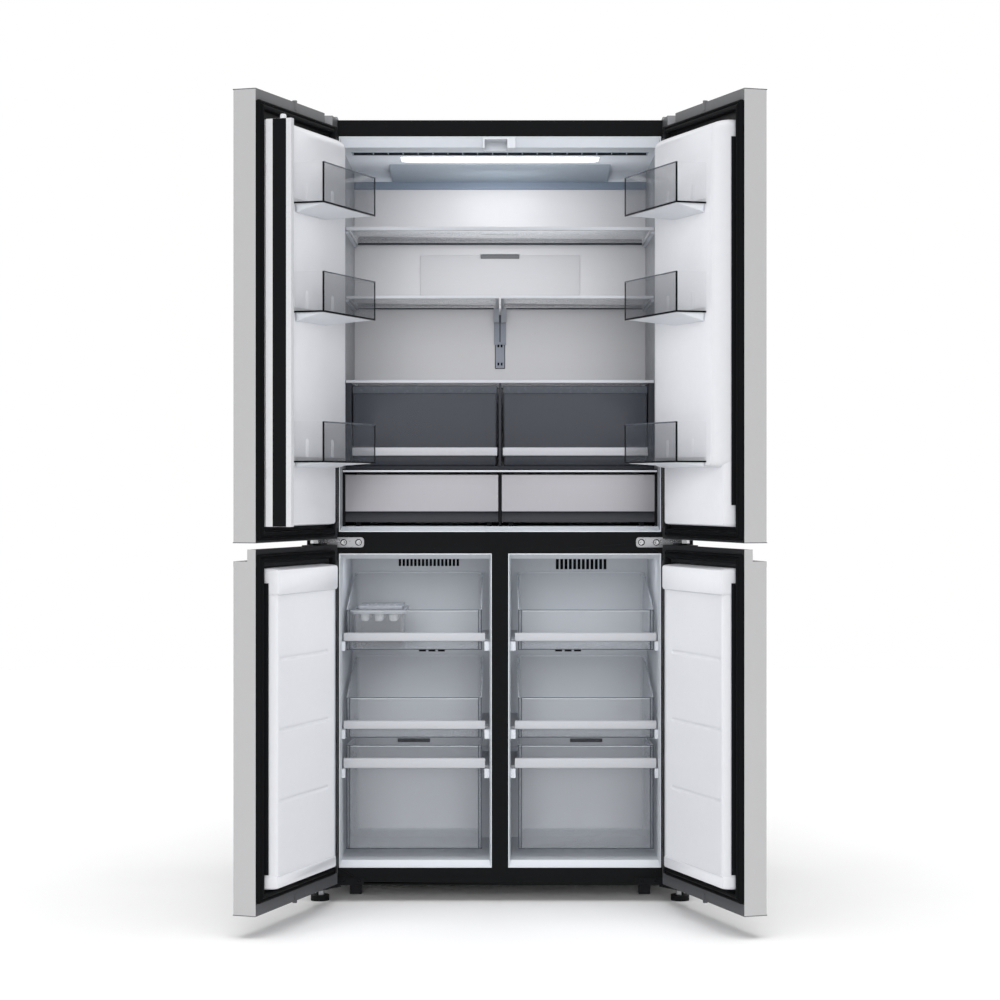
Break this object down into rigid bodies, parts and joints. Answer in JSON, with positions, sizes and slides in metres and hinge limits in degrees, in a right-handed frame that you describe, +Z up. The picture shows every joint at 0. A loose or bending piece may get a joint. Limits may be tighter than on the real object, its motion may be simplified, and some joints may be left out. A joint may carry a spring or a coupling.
{
  "type": "four-door column refrigerator",
  "caption": "Tall refrigerator with paired doors above and below, clear shelves, door bins, crispers, pantry drawers and freezer columns, drawn with the doors open.",
  "frame": {"origin": "floor level, at the middle of the overall width and depth with the doors open as drawn", "axes": "+Z up, +X to the right seen from the front, +Y from the front to the back"},
  "size_m": [1.157, 1.1164, 1.853],
  "materials": {
    "outer_case": "satin",
    "back_panel": "matte",
    "insulation_foam": "matte",
    "front_frame": "gloss",
    "fridge_liner": "satin",
    "freezer_liners": "satin",
    "cooling_plate": "satin",
    "ceiling_lamp": "satin",
    "ceiling_duct": "matte",
    "flap_guide": "satin",
    "filter_cover": "satin",
    "shelf_track": "satin",
    "shelf_glass": "polished",
    "crisper_frame": "satin",
    "pantry_frame": "satin",
    "freezer_air_covers": "satin",
    "evaporator": "satin",
    "evaporator_fan": "matte",
    "compressor": "satin",
    "condenser": "matte",
    "condenser_fan": "matte",
    "base_plate": "satin",
    "control_box": "matte",
    "hinge_steel": "satin",
    "bottom_hinges": "satin",
    "hinge_covers": "matte",
    "hinge_screws": "polished",
    "leveling_feet": "matte",
    "roller": "matte",
    "door_steel": "satin",
    "door_liner": "satin",
    "gasket": "matte",
    "clear_bin": "gloss",
    "center_flap": "satin",
    "flap_strip": "satin",
    "crisper": "gloss",
    "pantry": "satin",
    "clear_drawer": "gloss",
    "ice_box": "gloss"
  },
  "bodies": {
    "cabinet": {"outer_case": "outer_case", "back_panel": "back_panel", "insulation_foam": "insulation_foam", "front_frame": "front_frame", "fridge_liner": "fridge_liner", "freezer_liners": "freezer_liners", "cooling_plate": "cooling_plate", "ceiling_lamp": "ceiling_lamp", "ceiling_duct": "ceiling_duct", "flap_guide": "flap_guide", "filter_cover": "filter_cover", "shelf_track": "shelf_track", "top_shelf": "shelf_glass", "half_shelves": "shelf_glass", "crisper_shelf": "shelf_glass", "crisper_frame": "crisper_frame", "pantry_frame": "pantry_frame", "freezer_air_covers": "freezer_air_covers", "evaporator": "evaporator", "compressor": "compressor", "condenser": "condenser", "base_plate": "base_plate", "control_box": "control_box", "top_hinges": "hinge_steel", "hinge_covers": "hinge_covers", "middle_hinges": "hinge_steel", "bottom_hinges": "bottom_hinges", "hinge_screws": "hinge_screws", "leveling_feet": "leveling_feet"},
    "upper_left": {"upper_left_door": "door_steel", "upper_left_liner": "door_liner", "upper_left_gasket": "gasket", "left_bins": "clear_bin"},
    "upper_right": {"upper_right_door": "door_steel", "upper_right_liner": "door_liner", "upper_right_gasket": "gasket", "right_bins": "clear_bin"},
    "lower_left": {"lower_left_door": "door_steel", "lower_left_liner": "door_liner", "lower_left_gasket": "gasket"},
    "lower_right": {"lower_right_door": "door_steel", "lower_right_liner": "door_liner", "lower_right_gasket": "gasket"},
    "flap": {"center_flap": "center_flap", "flap_strip": "flap_strip"},
    "left_crisper_box": {"left_crisper": "crisper"},
    "right_crisper_box": {"right_crisper": "crisper"},
    "left_pantry_box": {"left_pantry": "pantry"},
    "right_pantry_box": {"right_pantry": "pantry"},
    "left_top_box": {"left_top_drawer": "clear_drawer", "ice_box": "ice_box"},
    "left_middle_box": {"left_middle_drawer": "clear_drawer"},
    "left_bottom_box": {"left_bottom_drawer": "clear_drawer"},
    "right_top_box": {"right_top_drawer": "clear_drawer"},
    "right_middle_box": {"right_middle_drawer": "clear_drawer"},
    "right_bottom_box": {"right_bottom_drawer": "clear_drawer"},
    "coil_fan": {"evaporator_fan": "evaporator_fan"},
    "heat_fan": {"condenser_fan": "condenser_fan"},
    "left_wheel": {"left_roller": "roller"},
    "right_wheel": {"right_roller": "roller"}
  },
  "joints": [
    {"name": "upper_left_hinge", "type": "hinge", "parent": "cabinet", "child": "upper_left", "pos_m": [-0.432, -0.13081, 1.351], "axis": [0, 0, -1], "range_deg": [-109, 0]},
    {"name": "upper_right_hinge", "type": "hinge", "parent": "cabinet", "child": "upper_right", "pos_m": [0.432, -0.13081, 1.351], "axis": [0, 0, 1], "range_deg": [-109, 0]},
    {"name": "lower_left_hinge", "type": "hinge", "parent": "cabinet", "child": "lower_left", "pos_m": [-0.432, -0.13081, 0.448], "axis": [0, 0, -1], "range_deg": [-109, 0]},
    {"name": "lower_right_hinge", "type": "hinge", "parent": "cabinet", "child": "lower_right", "pos_m": [0.432, -0.13081, 0.448], "axis": [0, 0, 1], "range_deg": [-109, 0]},
    {"name": "flap_hinge", "type": "hinge", "parent": "upper_left", "child": "flap", "pos_m": [-0.50151, -0.5331, 1.336], "axis": [0, 0, 1], "range_deg": [-90, 0]},
    {"name": "left_crisper_slide", "type": "slide", "parent": "cabinet", "child": "left_crisper_box", "axis": [0, -1, 0], "range_m": [0, 0.26]},
    {"name": "right_crisper_slide", "type": "slide", "parent": "cabinet", "child": "right_crisper_box", "axis": [0, -1, 0], "range_m": [0, 0.26]},
    {"name": "left_pantry_slide", "type": "slide", "parent": "cabinet", "child": "left_pantry_box", "axis": [0, -1, 0], "range_m": [0, 0.3]},
    {"name": "right_pantry_slide", "type": "slide", "parent": "cabinet", "child": "right_pantry_box", "axis": [0, -1, 0], "range_m": [0, 0.3]},
    {"name": "left_top_drawer_slide", "type": "slide", "parent": "cabinet", "child": "left_top_box", "axis": [0, -1, 0], "range_m": [0, 0.3]},
    {"name": "left_middle_drawer_slide", "type": "slide", "parent": "cabinet", "child": "left_middle_box", "axis": [0, -1, 0], "range_m": [0, 0.3]},
    {"name": "left_bottom_drawer_slide", "type": "slide", "parent": "cabinet", "child": "left_bottom_box", "axis": [0, -1, 0], "range_m": [0, 0.27]},
    {"name": "right_top_drawer_slide", "type": "slide", "parent": "cabinet", "child": "right_top_box", "axis": [0, -1, 0], "range_m": [0, 0.3]},
    {"name": "right_middle_drawer_slide", "type": "slide", "parent": "cabinet", "child": "right_middle_box", "axis": [0, -1, 0], "range_m": [0, 0.3]},
    {"name": "right_bottom_drawer_slide", "type": "slide", "parent": "cabinet", "child": "right_bottom_box", "axis": [0, -1, 0], "range_m": [0, 0.27]},
    {"name": "coil_fan_spin", "type": "hinge", "parent": "cabinet", "child": "coil_fan", "pos_m": [-0.2, 0.38719, 0.66], "axis": [0, 1, 0], "continuous": true},
    {"name": "heat_fan_spin", "type": "hinge", "parent": "cabinet", "child": "heat_fan", "pos_m": [-0.01, 0.42319, 0.129], "axis": [1, 0, 0], "continuous": true},
    {"name": "left_roller_spin", "type": "hinge", "parent": "cabinet", "child": "left_wheel", "pos_m": [-0.33, 0.52419, 0.018], "axis": [1, 0, 0], "continuous": true},
    {"name": "right_roller_spin", "type": "hinge", "parent": "cabinet", "child": "right_wheel", "pos_m": [0.33, 0.52419, 0.018], "axis": [1, 0, 0], "continuous": true}
  ],
  "couplings": [
    {"joint": "flap_hinge", "follows": "upper_left_hinge", "ratio": 0.82569}
  ]
}
